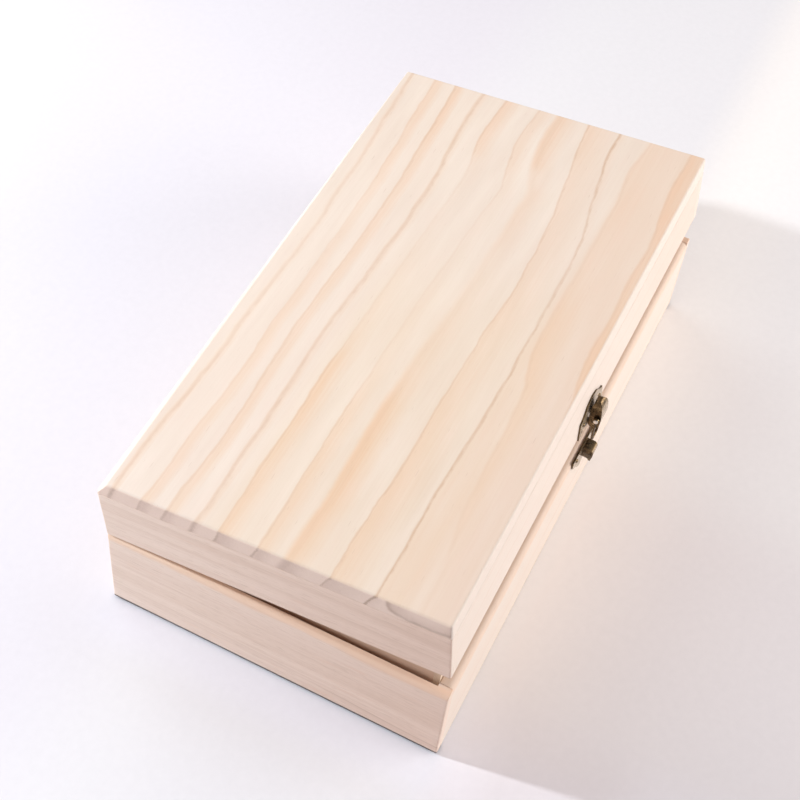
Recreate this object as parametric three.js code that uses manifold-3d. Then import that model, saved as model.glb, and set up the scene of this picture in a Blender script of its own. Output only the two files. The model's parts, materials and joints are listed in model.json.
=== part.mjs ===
// Wooden storage box for small glass bottles: a pine base with a lift-out
// divider insert, a hinged pine lid and a bronze draw latch.
// Units are millimetres. +X runs along the box, -Y is the latch side, +Z is up.
// The origin is the middle of the underside of the base.
import * as THREE from 'three';
import { mergeVertices } from 'three/addons/utils/BufferGeometryUtils.js';
import Module from 'manifold-3d';

const wasm = await Module();
wasm.setup();

// ---------------------------------------------------------------- dimensions
const LENGTH = 294;          // outside, along X
const WIDTH = 160;           // outside, along Y
const BASE_H = 50;           // base, underside to rim
const LID_H = 37.5;          // lid, rim to top
const WALL = 5;              // side boards of the lid, ends of the base
const THICK = 6.2;           // front and back walls of the base
const TOP_T = 9;             // lid top panel
const BOTTOM_T = 5;          // bottom panel
const RIM_GAP = 0.3;         // between the rims when the lid is shut
const GLUE = 0.1;            // glue line between lid boards
const LID_OPEN = 5.5;        // degrees the lid stands ajar at rest
const PLANED_Y = 6, PLANED_Z = 7.8;    // planed hinge-side edge of the lid top, at its deep end

const INSERT_GAP = 0.4;      // insert to wall
const INSERT_T = 3;          // insert frame
const LIP = 7;               // insert frame above the rim
const DIV_T = 2.5;           // dividers
const DIV_H = 40;
const CELLS_X = 7;
const CELLS_Y = 4;

const HINGE_X = 95;          // hinge centres, either side of the middle
const HINGE_W = 24;
const LEAF_H = 13;
const LEAF_T = 0.9;
const KNUCKLE_R = 1.8;
const PIN_OFF = 1.9;         // hinge axis behind the back face

// latch, measured from the lid's lower front edge: v up, o out of the face
const PLATE_T = 0.7;
const FACE_GAP = 0.1;
const PIVOT_V = 2.7, PIVOT_O = 3.5;     // lever pivot
const BAIL_V = 6.6, BAIL_O = 4.9;       // bail pin on the lever
const BAIL_L = 16.6;                    // bail pin to crossbar
const WIRE_R = 0.6;
const CHEEK_OUT = 4.2, CHEEK_IN = 3.5;  // lever cheeks, half widths

const HY = WIDTH / 2 + PIN_OFF;         // hinge axis
const HZ = BASE_H;
const LID_Z = BASE_H + RIM_GAP;         // lid rim when shut
const HX2 = LENGTH / 2, HY2 = WIDTH / 2;

// ------------------------------------------------------------------ helpers
function solid(g) {
  const geo = g.index ? g.toNonIndexed() : g.clone();
  for (const k of Object.keys(geo.attributes)) if (k !== 'position') geo.deleteAttribute(k);
  const m = mergeVertices(geo, 1e-4);
  return new wasm.Manifold(new wasm.Mesh({
    numProp: 3,
    vertProperties: new Float32Array(m.attributes.position.array),
    triVerts: new Uint32Array(m.index.array),
  }));
}
function geometry(man) {
  const m = man.getMesh();
  const g = new THREE.BufferGeometry();
  const p = new Float32Array(m.numVert * 3);
  for (let i = 0; i < m.numVert; i++) {
    for (let k = 0; k < 3; k++) p[3 * i + k] = m.vertProperties[m.numProp * i + k];
  }
  g.setAttribute('position', new THREE.BufferAttribute(p, 3));
  g.setIndex(new THREE.BufferAttribute(new Uint32Array(m.triVerts), 1));
  const flat = g.toNonIndexed();
  flat.computeVertexNormals();
  return flat;
}
function box(x0, x1, y0, y1, z0, z1) {
  const g = new THREE.BoxGeometry(x1 - x0, y1 - y0, z1 - z0);
  g.translate((x0 + x1) / 2, (y0 + y1) / 2, (z0 + z1) / 2);
  return g;
}
// cylinder along X, Y
function rodX(x0, x1, y, z, r, n = 16) {
  const g = new THREE.CylinderGeometry(r, r, x1 - x0, n);
  g.rotateZ(Math.PI / 2);
  g.translate((x0 + x1) / 2, y, z);
  return g;
}
function rodY(x, y0, y1, z, r, n = 16) {
  const g = new THREE.CylinderGeometry(r, r, y1 - y0, n);
  g.translate(0, 0, 0);
  g.translate(x, (y0 + y1) / 2, z);
  return g;
}
function extrude(points, depth) {
  const s = new THREE.Shape(points.map((p) => new THREE.Vector2(p[0], p[1])));
  return new THREE.ExtrudeGeometry(s, { depth, bevelEnabled: false, steps: 1 });
}
// outline in (y, z), swept from x0 to x1
function sweepX(points, x0, x1) {
  const g = extrude(points, x1 - x0);
  const p = g.attributes.position;
  for (let i = 0; i < p.count; i++) p.setXYZ(i, p.getZ(i) + x0, p.getX(i), p.getY(i));
  return g;
}
// outline in (x, z), swept outwards from the front: y runs from yBack to yBack - depth
function sweepOut(points, yBack, depth) {
  const g = extrude(points, depth);
  const p = g.attributes.position;
  for (let i = 0; i < p.count; i++) p.setXYZ(i, p.getX(i), yBack - p.getZ(i), p.getY(i));
  return g;
}
// latch coordinates (v up the lid face, o out of it) to (y, z) of the shut lid
const face = (o, v) => [-HY2 - o, LID_Z + v];
function arc(cx, cy, r, a0, a1, n) {
  const out = [];
  for (let i = 0; i <= n; i++) {
    const a = THREE.MathUtils.degToRad(a0 + ((a1 - a0) * i) / n);
    out.push([cx + r * Math.cos(a), cy + r * Math.sin(a)]);
  }
  return out;
}
// smooth open curve through points, as a list
function curve(points, n) {
  const c = new THREE.SplineCurve(points.map((p) => new THREE.Vector2(p[0], p[1])));
  return c.getPoints(n).map((p) => [p.x, p.y]);
}

const root = new THREE.Group();
const lidGroup = new THREE.Group();
lidGroup.position.set(0, HY, HZ);
lidGroup.rotation.x = -THREE.MathUtils.degToRad(LID_OPEN);
const shut = new THREE.Group();          // pieces below are drawn with the lid shut
shut.position.set(0, -HY, -HZ);
lidGroup.add(shut);
root.add(lidGroup);

const pine = (c) => new THREE.MeshStandardMaterial({ color: c, roughness: 0.62, metalness: 0 });
const mats = {
  side: pine(0xe9cfb4), end: pine(0xdcc2aa), top: pine(0xf2dcc2), ply: pine(0xe2c7a6),
  insert: pine(0xe6caa8),
  bronze: new THREE.MeshStandardMaterial({ color: 0x6b5234, roughness: 0.38, metalness: 0.9 }),
  steel: new THREE.MeshStandardMaterial({ color: 0x8a6f48, roughness: 0.32, metalness: 0.9 }),
};
function add(parent, name, geo, mat) {
  const m = new THREE.Mesh(geo, mats[mat]);
  m.name = name;
  parent.add(m);
  return m;
}
function cut(geo, ...tools) {
  let s = solid(geo);
  for (const t of tools) s = s.subtract(solid(t));
  return s;
}

// ---------------------------------------------------------------------- base
const SCREW_R = 0.7, SCREW_HOLE = 0.8, NAIL_R = 0.55, NAIL_HOLE = 0.65;
const hingeXs = [-HINGE_X, HINGE_X];
const screwDX = 7.5, screwDZ = 8.2;
const BASE_NAIL = [9.6, -3.6];           // x, z from the rim
const LID_NAIL = [9.6, 6.6];

const backHolesBase = [], backHolesLid = [];
for (const hx of hingeXs) for (const s of [-1, 1]) {
  backHolesBase.push(rodY(hx + s * screwDX, HY2 - 4.2, HY2 + 1, HZ - screwDZ, SCREW_HOLE, 12));
  backHolesLid.push(rodY(hx + s * screwDX, HY2 - 4.2, HY2 + 1, HZ + screwDZ, SCREW_HOLE, 12));
}
// the end boards are rebated along the inside of the rim
const REBATE = 1.6, REBATE_H = 3.5;
add(root, 'base_end_left', geometry(cut(box(-HX2, -HX2 + WALL, -HY2, HY2, 0, BASE_H),
  box(-HX2 + WALL - REBATE, -HX2 + WALL + 1, -HY2 + THICK, HY2 - THICK, BASE_H - REBATE_H, BASE_H + 1))), 'end');
add(root, 'base_end_right', geometry(cut(box(HX2 - WALL, HX2, -HY2, HY2, 0, BASE_H),
  box(HX2 - WALL - 1, HX2 - WALL + REBATE, -HY2 + THICK, HY2 - THICK, BASE_H - REBATE_H, BASE_H + 1))), 'end');
add(root, 'base_front_wall', geometry(cut(
  box(-HX2 + WALL, HX2 - WALL, -HY2, -HY2 + THICK, 0, BASE_H),
  ...[-1, 1].map((s) => rodY(s * BASE_NAIL[0], -HY2 - 1, -HY2 + 4.2, BASE_H + BASE_NAIL[1], NAIL_HOLE, 12)))), 'side');
add(root, 'base_back_wall', geometry(cut(
  box(-HX2 + WALL, HX2 - WALL, HY2 - THICK, HY2, 0, BASE_H), ...backHolesBase)), 'side');
add(root, 'base_bottom', box(-HX2 + WALL, HX2 - WALL, -HY2 + THICK, HY2 - THICK, 0, BOTTOM_T), 'ply');

// lift-out insert: a frame whose edge stands above the rim, and the dividers
const IX = HX2 - WALL - INSERT_GAP, IY = HY2 - THICK - INSERT_GAP;
const LIP_Z = BASE_H + LIP;
add(root, 'insert_front', box(-IX, IX, -IY, -IY + INSERT_T, BOTTOM_T, LIP_Z), 'insert');
add(root, 'insert_back', box(-IX, IX, IY - INSERT_T, IY, BOTTOM_T, LIP_Z), 'insert');
add(root, 'insert_left', box(-IX, -IX + INSERT_T, -IY + INSERT_T, IY - INSERT_T, BOTTOM_T, LIP_Z), 'insert');
add(root, 'insert_right', box(IX - INSERT_T, IX, -IY + INSERT_T, IY - INSERT_T, BOTTOM_T, LIP_Z), 'insert');
const CX = IX - INSERT_T, CY = IY - INSERT_T;      // half sizes of the divided space
const pitchX = (2 * CX + DIV_T) / CELLS_X, pitchY = (2 * CY + DIV_T) / CELLS_Y;
const crossAt = [], longAt = [];
for (let i = 1; i < CELLS_X; i++) crossAt.push(-CX - DIV_T / 2 + pitchX * i);
for (let j = 1; j < CELLS_Y; j++) longAt.push(-CY - DIV_T / 2 + pitchY * j);
const Z0 = BOTTOM_T, Z1 = BOTTOM_T + DIV_H, ZM = (Z0 + Z1) / 2;
const slot = DIV_T / 2 + 0.1;
longAt.forEach((y, j) => {
  const e = CX - 0.1;
  const pts = [[-e, Z0], [e, Z0], [e, Z1]];
  for (const x of [...crossAt].reverse()) pts.push([x + slot, Z1], [x + slot, ZM], [x - slot, ZM], [x - slot, Z1]);
  pts.push([-e, Z1]);
  add(root, `divider_long_${j + 1}`, sweepOut(pts, y + DIV_T / 2, DIV_T), 'insert');
});
crossAt.forEach((x, i) => {
  const e = CY - 0.1;
  const pts = [[e, Z1], [-e, Z1], [-e, Z0]];
  for (const y of longAt) pts.push([y - slot, Z0], [y - slot, ZM + 0.1], [y + slot, ZM + 0.1], [y + slot, Z0]);
  pts.push([e, Z0]);
  add(root, `divider_cross_${i + 1}`, sweepX(pts, x - DIV_T / 2, x + DIV_T / 2), 'insert');
});

// ----------------------------------------------------------------------- lid
const LT = LID_Z + LID_H, LW = LT - TOP_T - GLUE;   // lid top, top of the lid walls
add(shut, 'lid_end_left', box(-HX2, -HX2 + WALL, -HY2, HY2, LID_Z, LW), 'end');
add(shut, 'lid_end_right', box(HX2 - WALL, HX2, -HY2, HY2, LID_Z, LW), 'end');
add(shut, 'lid_front_wall', geometry(cut(
  box(-HX2 + WALL + GLUE, HX2 - WALL - GLUE, -HY2, -HY2 + WALL, LID_Z, LW),
  ...[-1, 1].map((s) => rodY(s * LID_NAIL[0], -HY2 - 1, -HY2 + 4.2, LID_Z + LID_NAIL[1], NAIL_HOLE, 12)))), 'side');
add(shut, 'lid_back_wall', geometry(cut(
  box(-HX2 + WALL + GLUE, HX2 - WALL - GLUE, HY2 - WALL, HY2, LID_Z, LW), ...backHolesLid)), 'side');

// top panel: its hinge-side edge is planed off, deep at the near end and down to nothing at the far one
function panel() {
  const n = new THREE.Vector3(0, PLANED_Y, -PLANED_Z).cross(new THREE.Vector3(LENGTH, PLANED_Y, 0)).normalize();
  if (n.z < 0) n.negate();
  const at = new THREE.Vector3(-HX2, HY2 - PLANED_Y, LT);
  return geometry(solid(box(-HX2, HX2, -HY2, HY2, LW + GLUE, LT)).trimByPlane([-n.x, -n.y, -n.z], -n.dot(at)));
}
add(shut, 'lid_top_panel', panel(), 'top');

// -------------------------------------------------------------------- hinges
for (const [k, hx] of [['left', -HINGE_X], ['right', HINGE_X]]) {
  const w = HINGE_W / 2, third = HINGE_W / 6;
  const y0 = HY2 + FACE_GAP, y1 = HY2 + FACE_GAP + LEAF_T;
  const bore = rodX(hx - w - 1, hx + w + 1, HY, HZ, 0.8, 16);
  const c = 0.15, room = KNUCKLE_R + 0.25;
  const screws = (z) => [-1, 1].map((s) => rodY(hx + s * screwDX, HY2 - 1, HY2 + 3, z, SCREW_HOLE, 12));
  // base leaf: the two outer knuckles
  let leaf = cut(box(hx - w, hx + w, y0, y1, HZ - LEAF_H, HZ - 0.4),
    box(hx - third - c, hx + third + c, y0 - 1, y1 + 1, HZ - room, HZ + 3), ...screws(HZ - screwDZ));
  for (const [a, b] of [[-w, -third - c], [third + c, w]]) leaf = leaf.add(solid(rodX(hx + a, hx + b, HY, HZ, KNUCKLE_R, 20)));
  leaf = leaf.subtract(solid(bore));
  add(root, `hinge_${k}_base_leaf`, geometry(leaf), 'bronze');
  // lid leaf: the middle knuckle
  let top = cut(box(hx - w, hx + w, y0, y1, HZ + 0.4, HZ + LEAF_H),
    box(hx - w - 1, hx - third + c, y0 - 1, y1 + 1, HZ - 1, HZ + room),
    box(hx + third - c, hx + w + 1, y0 - 1, y1 + 1, HZ - 1, HZ + room), ...screws(HZ + screwDZ));
  top = top.add(solid(rodX(hx - third + c, hx + third - c, HY, HZ, KNUCKLE_R, 20)));
  top = top.subtract(solid(bore));
  add(shut, `hinge_${k}_lid_leaf`, geometry(top), 'bronze');
  add(root, `hinge_${k}_pin`, geometry(solid(rodX(hx - w - 0.6, hx + w + 0.6, HY, HZ, 0.72, 16))), 'steel');
  for (const [s, n] of [[-1, 1], [1, 2]]) {
    for (const [parent, part, z] of [[root, 'base', HZ - screwDZ], [shut, 'lid', HZ + screwDZ]]) {
      const x = hx + s * screwDX;
      const sc = solid(rodY(x, HY2 - 4, y1 + 0.3, z, SCREW_R, 12))
        .add(solid(rodY(x, y1 + 0.05, y1 + 0.55, z, 1.55, 16)));
      add(parent, `hinge_${k}_${part}_screw_${n}`, geometry(sc), 'steel');
    }
  }
}

// --------------------------------------------------------------------- latch
// lid plate: a leaf-edged half moon with two lugs for the lever
const half = curve([[14.1, 0.1], [13.6, 5.0], [12.9, 9.6], [11.2, 10.2], [8.4, 12.0], [5.6, 14.6], [2.6, 15.6], [0, 16.1]], 22);
const lower = curve([[-14.1, 0.1], [-12.2, 1.4], [-9.5, 2.6], [-6.6, 2.2], [-4.6, 1.0], [0, 0.8]], 12);
const plateOutline = [
  ...half,
  ...half.slice(0, -1).reverse().map(([x, z]) => [-x, z]),
  ...lower.slice(1),
  ...lower.slice(1, -1).reverse().map(([x, z]) => [-x, z]),
].map(([x, z]) => [x, z + LID_Z]);
const FACE_Y = -HY2 - FACE_GAP;
let plate = cut(sweepOut(plateOutline, FACE_Y, PLATE_T),
  ...[-1, 1].map((s) => rodY(s * LID_NAIL[0], -HY2 - 3, -HY2 + 1, LID_Z + LID_NAIL[1], NAIL_HOLE, 12)));
const lugR = 1.6;
const lug = [face(0.4, PIVOT_V - lugR), ...arc(0, 0, lugR, -90, 90, 10).map(([a, b]) => face(PIVOT_O + a, PIVOT_V + b)), face(0.4, PIVOT_V + lugR)];
const lugs = [[-3.3, -2.5], [2.5, 3.3]];
for (const [a, b] of lugs) plate = plate.add(solid(sweepX([...lug].reverse(), a, b)));
const [py, pz] = face(PIVOT_O, PIVOT_V);
plate = plate.subtract(solid(rodX(-6, 6, py, pz, 0.8, 16)));
add(shut, 'latch_lid_plate', geometry(plate), 'bronze');

// lever: a bill-shaped channel, open towards the lid
const outer = [
  ...arc(0, 0, 2.6, -180, 0, 12).map(([a, b]) => [PIVOT_O + a, PIVOT_V + b]),
  [6.5, 4.4], [6.75, 6.4], [6.85, 8.8], [6.8, 11.2], [6.5, 13.2], [5.9, 14.9], [5.0, 15.8],
  [3.9, 15.9], [2.8, 15.2], [2.1, 13.6], [1.7, 10.8], [1.3, 7.0],
];
const inner = [
  [-3, -1.6], [9, -1.6], [9, 3.6], [5.65, 3.6], [5.85, 5.2], [6.0, 7.4], [5.95, 10.2], [5.7, 12.2], [5.1, 13.8],
  [4.4, 14.7], [3.8, 14.7], [3.2, 14.0], [-3, 14.0],
];
const bill = (w, tip) => {
  const r = curve([[w, -2], [w, 5], [w, 8.4], [w * 0.95, 11.2], [w * 0.82, 13.6], [w * 0.5, tip - 0.8], [0, tip]], 20);
  return [...r, ...r.slice(0, -1).reverse().map(([x, z]) => [-x, z])].map(([x, z]) => [x, z + LID_Z]);
};
const sideOutline = (pts) => pts.map(([o, v]) => face(o, v)).reverse();
let lever = solid(sweepX(sideOutline(outer), -CHEEK_OUT, CHEEK_OUT))
  .intersect(solid(sweepOut(bill(CHEEK_OUT, 16.2), -HY2 + 4, 16)));
const hollow = solid(sweepX(sideOutline(inner), -CHEEK_IN, CHEEK_IN))
  .intersect(solid(sweepOut(bill(CHEEK_IN, 14.9), -HY2 + 4, 16)));
const [by, bz] = face(BAIL_O, BAIL_V);
lever = lever.subtract(hollow)
  .subtract(solid(rodX(-6, 6, py, pz, 0.8, 16)))
  .subtract(solid(rodX(-6, 6, by, bz, 0.7, 16)));
add(shut, 'latch_lever', geometry(lever), 'bronze');
add(shut, 'lever_pin', geometry(solid(rodX(-CHEEK_OUT + 0.02, CHEEK_OUT - 0.02, py, pz, 0.7, 16))), 'steel');

// pin that carries the bail, riveted over at both ends
const EYE0 = CHEEK_OUT + 0.15, EYE1 = EYE0 + 2 * WIRE_R;
let bailPin = solid(rodX(-EYE1 - 0.2, EYE1 + 0.2, by, bz, WIRE_R, 16));
for (const s of [-1, 1]) {
  const [a, b] = s > 0 ? [EYE1 + 0.1, EYE1 + 0.6] : [-EYE1 - 0.6, -EYE1 - 0.1];
  bailPin = bailPin.add(solid(rodX(a, b, by, bz, 1.05, 16)));
}
add(shut, 'bail_pin', geometry(bailPin), 'steel');

// bail: round wire, drawn in towards its crossbar, a flat eye at the top of each leg
const LEG = EYE0 + WIRE_R;
const legX = [[LEG, 1.15], [LEG, 3.2], [LEG, 5.8], [4.15, 9.8], [3.55, 13.4], [3.3, 15.1], [2.6, 16.3]];
const wireLine = [
  ...legX.map(([x, t]) => new THREE.Vector3(-x, by, bz - t)),
  new THREE.Vector3(0, by, bz - BAIL_L),
  ...[...legX].reverse().map(([x, t]) => new THREE.Vector3(x, by, bz - t)),
];
const ring = new THREE.Shape(arc(0, 0, WIRE_R, 0, 330, 11).map((p) => new THREE.Vector2(p[0], p[1])));
let bail = solid(new THREE.ExtrudeGeometry(ring, {
  steps: 56, bevelEnabled: false, extrudePath: new THREE.CatmullRomCurve3(wireLine, false, 'centripetal'),
}));
for (const s of [-1, 1]) {
  const [a, b] = s > 0 ? [EYE0, EYE1] : [-EYE1, -EYE0];
  bail = bail.add(solid(rodX(a, b, by, bz, 1.5, 18)));
}
bail = bail.subtract(solid(rodX(-EYE1 - 1, EYE1 + 1, by, bz, 0.7, 16)));
// with the lid ajar the bail hangs plumb, so it is turned back by the angle of the lid
bail = bail.translate([0, -by, -bz]).rotate([LID_OPEN, 0, 0]).translate([0, by, bz]);
add(shut, 'latch_bail', geometry(bail), 'bronze');

// strike on the base: a pointed plate with a cast hook, notched from below
const sHalf = curve([[14.4, -0.3], [14.6, -3.8], [12.3, -6.8], [9.0, -9.2], [6.6, -12.2], [3.6, -15.4], [0, -18.2]], 18);
const strikeOutline = [
  ...sHalf.map(([x, z]) => [-x, z]),
  ...sHalf.slice(0, -1).reverse(),
].map(([x, z]) => [x, z + BASE_H]);
let strike = cut(sweepOut(strikeOutline, FACE_Y, PLATE_T),
  ...[-1, 1].map((s) => rodY(s * BASE_NAIL[0], -HY2 - 3, -HY2 + 1, BASE_H + BASE_NAIL[1], NAIL_HOLE, 12)));
const hook = [
  [0.4, -8.5], [1.9, -8.5], [3.3, -8.7], [3.85, -8.95], [4.12, -9.5], [4.2, -10.8], [4.45, -11.3], [4.85, -11.3], [5.15, -10.7],
  [5.4, -8.9], [5.8, -6.8], [6.05, -4.6], [6.05, -3.0], [5.6, -1.7], [4.5, -0.95], [2.6, -0.7], [0.4, -0.9],
].map(([o, v]) => [-HY2 - o, BASE_H + v]);
const tHalf = curve([[3.0, 0.5], [3.0, -2.5], [2.9, -4.6], [2.4, -7.0], [1.95, -9.0], [1.3, -10.8], [0, -11.5]], 16);
const tongue = [...tHalf.map(([x, z]) => [-x, z]), ...tHalf.slice(0, -1).reverse()].map(([x, z]) => [x, z + BASE_H]);
strike = strike.add(solid(sweepX(hook, -3.2, 3.2)).intersect(solid(sweepOut(tongue, -HY2 + 1, 8))));
add(root, 'latch_strike', geometry(strike), 'bronze');

// nails
for (const s of [-1, 1]) {
  const n = s < 0 ? 'left' : 'right';
  for (const [parent, part, x, z, yf] of [
    [shut, 'lid', s * LID_NAIL[0], LID_Z + LID_NAIL[1], FACE_Y - PLATE_T],
    [root, 'base', s * BASE_NAIL[0], BASE_H + BASE_NAIL[1], FACE_Y - PLATE_T],
  ]) {
    const dome = new THREE.LatheGeometry([[0, -0.64], [0.45, -0.58], [0.85, -0.36], [1.15, 0], [0, 0]].map((p) => new THREE.Vector2(p[0], p[1])), 14);
    dome.translate(x, yf - 0.05, z);
    const nail = solid(dome).add(solid(rodY(x, yf - 0.2, -HY2 + 4, z, NAIL_R, 12)));
    add(parent, `latch_${part}_nail_${n}`, geometry(nail), 'steel');
  }
}

export default root;
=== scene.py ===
# Looks for the wooden storage box: eased pine boards, bronze latch and hinges,
# a pale studio floor and soft light. Positions are in metres, in the part's frame.
import json
import math
import bpy
import bmesh
from mathutils import Matrix, Vector


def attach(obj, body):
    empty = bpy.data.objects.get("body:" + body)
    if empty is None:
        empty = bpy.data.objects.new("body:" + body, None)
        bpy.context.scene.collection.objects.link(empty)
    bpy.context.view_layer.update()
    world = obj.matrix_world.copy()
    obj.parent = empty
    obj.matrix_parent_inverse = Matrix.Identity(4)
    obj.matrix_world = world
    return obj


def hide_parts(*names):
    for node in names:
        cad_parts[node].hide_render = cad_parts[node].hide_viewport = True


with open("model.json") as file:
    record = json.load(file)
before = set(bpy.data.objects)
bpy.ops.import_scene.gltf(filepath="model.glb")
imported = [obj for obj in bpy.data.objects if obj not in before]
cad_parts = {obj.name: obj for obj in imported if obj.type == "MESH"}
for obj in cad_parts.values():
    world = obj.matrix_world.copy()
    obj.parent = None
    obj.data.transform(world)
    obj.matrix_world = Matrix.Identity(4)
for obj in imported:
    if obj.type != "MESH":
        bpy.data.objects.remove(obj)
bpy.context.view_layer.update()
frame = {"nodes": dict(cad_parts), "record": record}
NODES = frame["nodes"]

MM = 0.001
L2, W2 = 147.0, 80.0            # half length and width
BASE_H, LID_Z, LID_T = 50.0, 50.3, 87.8
WALL, TOP_T, GLUE = 5.0, 9.0, 0.1
HY, HZ = 81.9, 50.0             # hinge axis
OPEN = math.radians(5.5)
PLANED_Y, PLANED_Z = 6.0, 7.8   # planed hinge-side edge of the lid top, at its deep end
THICK, REBATE, REBATE_H = 6.2, 1.6, 3.5


def drop(x, y):
    """How far the planed edge lies below the lid's flat top, with a softened crease."""
    d = (y - (W2 - PLANED_Y * (L2 - x) / (2 * L2))) * PLANED_Z / PLANED_Y
    r = 0.7
    return 0.0 if d < -r else (d if d > r else (d + r) ** 2 / (4 * r))


def lid_place(v):
    """A point of the shut lid, in mm, at rest."""
    y, z = v[1] - HY, v[2] - HZ
    c, s = math.cos(OPEN), math.sin(OPEN)
    return Vector((v[0], HY + y * c + z * s, HZ - y * s + z * c))


# ------------------------------------------------------------------ node helper
class Graph:
    def __init__(self, name):
        self.mat = bpy.data.materials.new(name)
        self.mat.use_nodes = True
        self.t = self.mat.node_tree
        self.t.nodes.clear()
        self.out = self.t.nodes.new("ShaderNodeOutputMaterial")
        self.bsdf = self.t.nodes.new("ShaderNodeBsdfPrincipled")
        self.t.links.new(self.bsdf.outputs[0], self.out.inputs[0])

    def put(self, sock, v):
        if isinstance(v, bpy.types.NodeSocket):
            self.t.links.new(v, sock)
        elif isinstance(v, (tuple, list)) and len(v) == 3 and len(sock.default_value) == 4:
            sock.default_value = (*v, 1.0)
        else:
            sock.default_value = v

    def node(self, kind, ins=None, **props):
        n = self.t.nodes.new(kind)
        for k, v in props.items():
            setattr(n, k, v)
        for k, v in (ins or {}).items():
            self.put(n.inputs[k], v)
        return n

    def m(self, op, a, b=0.0, c=None, clamp=False):
        n = self.t.nodes.new("ShaderNodeMath")
        n.operation = op
        n.use_clamp = clamp
        self.put(n.inputs[0], a)
        self.put(n.inputs[1], b)
        if c is not None:
            self.put(n.inputs[2], c)
        return n.outputs[0]

    def add(self, a, b): return self.m("ADD", a, b)
    def sub(self, a, b): return self.m("SUBTRACT", a, b)
    def mul(self, a, b): return self.m("MULTIPLY", a, b)
    def mad(self, a, b, c): return self.m("MULTIPLY_ADD", a, b, c)

    def lerp(self, f, a, b): return self.add(a, self.mul(f, self.sub(b, a)))

    def rng(self, v, a, b, c=0.0, d=1.0, smooth=False):
        n = self.node("ShaderNodeMapRange", {0: v, 1: a, 2: b, 3: c, 4: d})
        if smooth:
            n.interpolation_type = "SMOOTHSTEP"
        return n.outputs[0]

    def mix(self, f, a, b, blend="MIX"):
        n = self.t.nodes.new("ShaderNodeMix")
        n.data_type = "RGBA"
        n.blend_type = blend
        n.clamp_factor = True
        self.put(n.inputs[0], f)
        self.put(n.inputs[6], a)
        self.put(n.inputs[7], b)
        return n.outputs[2]

    def ramp(self, f, stops, interp="LINEAR"):
        n = self.t.nodes.new("ShaderNodeValToRGB")
        cr = n.color_ramp
        cr.interpolation = interp
        while len(cr.elements) < len(stops):
            cr.elements.new(0.5)
        for e, (p, c) in zip(cr.elements, stops):
            e.position = p
            e.color = (c, c, c, 1) if isinstance(c, (int, float)) else (*c, 1)
        self.put(n.inputs[0], f)
        return n.outputs[0]

    def curve(self, v, pts):
        n = self.t.nodes.new("ShaderNodeFloatCurve")
        c = n.mapping.curves[0]
        while len(c.points) < len(pts):
            c.points.new(0.5, 0.5)
        for p, (x, y) in zip(c.points, pts):
            p.location = (x, y)
            p.handle_type = "AUTO"
        n.mapping.use_clip = False
        n.mapping.update()
        self.put(n.inputs[1], v)
        return n.outputs[0]

    def vec(self, x, y, z):
        n = self.node("ShaderNodeCombineXYZ", {0: x, 1: y, 2: z})
        return n.outputs[0]

    def noise(self, v, scale=1.0, detail=2.0, rough=0.5, distortion=0.0):
        n = self.node("ShaderNodeTexNoise", {"Vector": v, "Scale": scale, "Detail": detail, "Roughness": rough, "Distortion": distortion})
        return n.outputs[0]

    def attr(self, name):
        return self.node("ShaderNodeAttribute", attribute_name=name)

    def bump(self, h, strength, dist):
        n = self.node("ShaderNodeBump", {"Height": h, "Strength": strength, "Distance": dist})
        return n.outputs[0]


def srgb(r, g, b):
    def f(c):
        c /= 255.0
        return c / 12.92 if c <= 0.04045 else ((c + 0.055) / 1.055) ** 2.4
    return (f(r), f(g), f(b))


# -------------------------------------------------------------------- materials
# Wood is drawn from the vertex attribute "wood": millimetres along the grain,
# across the board, and in depth, and "endg", which is 1 on sawn ends.
def wood_inputs(g):
    s = g.node("ShaderNodeSeparateXYZ", {0: g.attr("wood").outputs["Vector"]})
    return s.outputs[0], s.outputs[1], s.outputs[2], g.attr("endg").outputs["Fac"]


def fibres(g, a, b, c):
    """Fine streaks along the grain, 0 to 1 about 0.5, and short pores."""
    s1 = g.noise(g.vec(g.mul(a, 0.012), g.mul(b, 1.1), g.mul(c, 1.1)), 1.0, 4.0, 0.62)
    s2 = g.noise(g.vec(g.mul(a, 0.05), g.mul(b, 4.5), g.mul(c, 4.5)), 1.0, 3.0, 0.6)
    pores = g.noise(g.vec(g.mul(a, 0.16), g.mul(b, 2.6), g.mul(c, 2.6)), 1.0, 1.0, 0.5)
    pores = g.rng(pores, 0.66, 0.76, 0.0, 1.0, True)
    return s1, s2, pores


def growth_line(g, t, s, course, strength, line, band):
    """One growth line: its dark edge and the soft band on its latch side. course and strength run
    along t, 0 to 1; s is the place across the board in mm; line is (weight, centre, half width)
    and band is (weight, rise, flat, fade, power), lengths in mm."""
    y = g.mad(g.curve(t, course), 200.0, -100.0)
    d = g.sub(y, s)
    k = g.curve(t, strength)
    up = g.rng(d, -band[1], band[1], 0.0, 1.0, True)
    fall = g.m("POWER", g.rng(d, band[2], band[2] + band[3], 1.0, 0.0), band[4])
    soft = g.mul(g.mul(up, fall), g.mul(k, band[0]))
    off = g.m("ABSOLUTE", g.sub(d, line[1]))
    thin = g.mul(g.rng(off, line[2], 0.0, 0.0, 1.0, True), g.mul(g.mad(k, 0.75, 0.25), line[0]))
    return soft, thin, d


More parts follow.
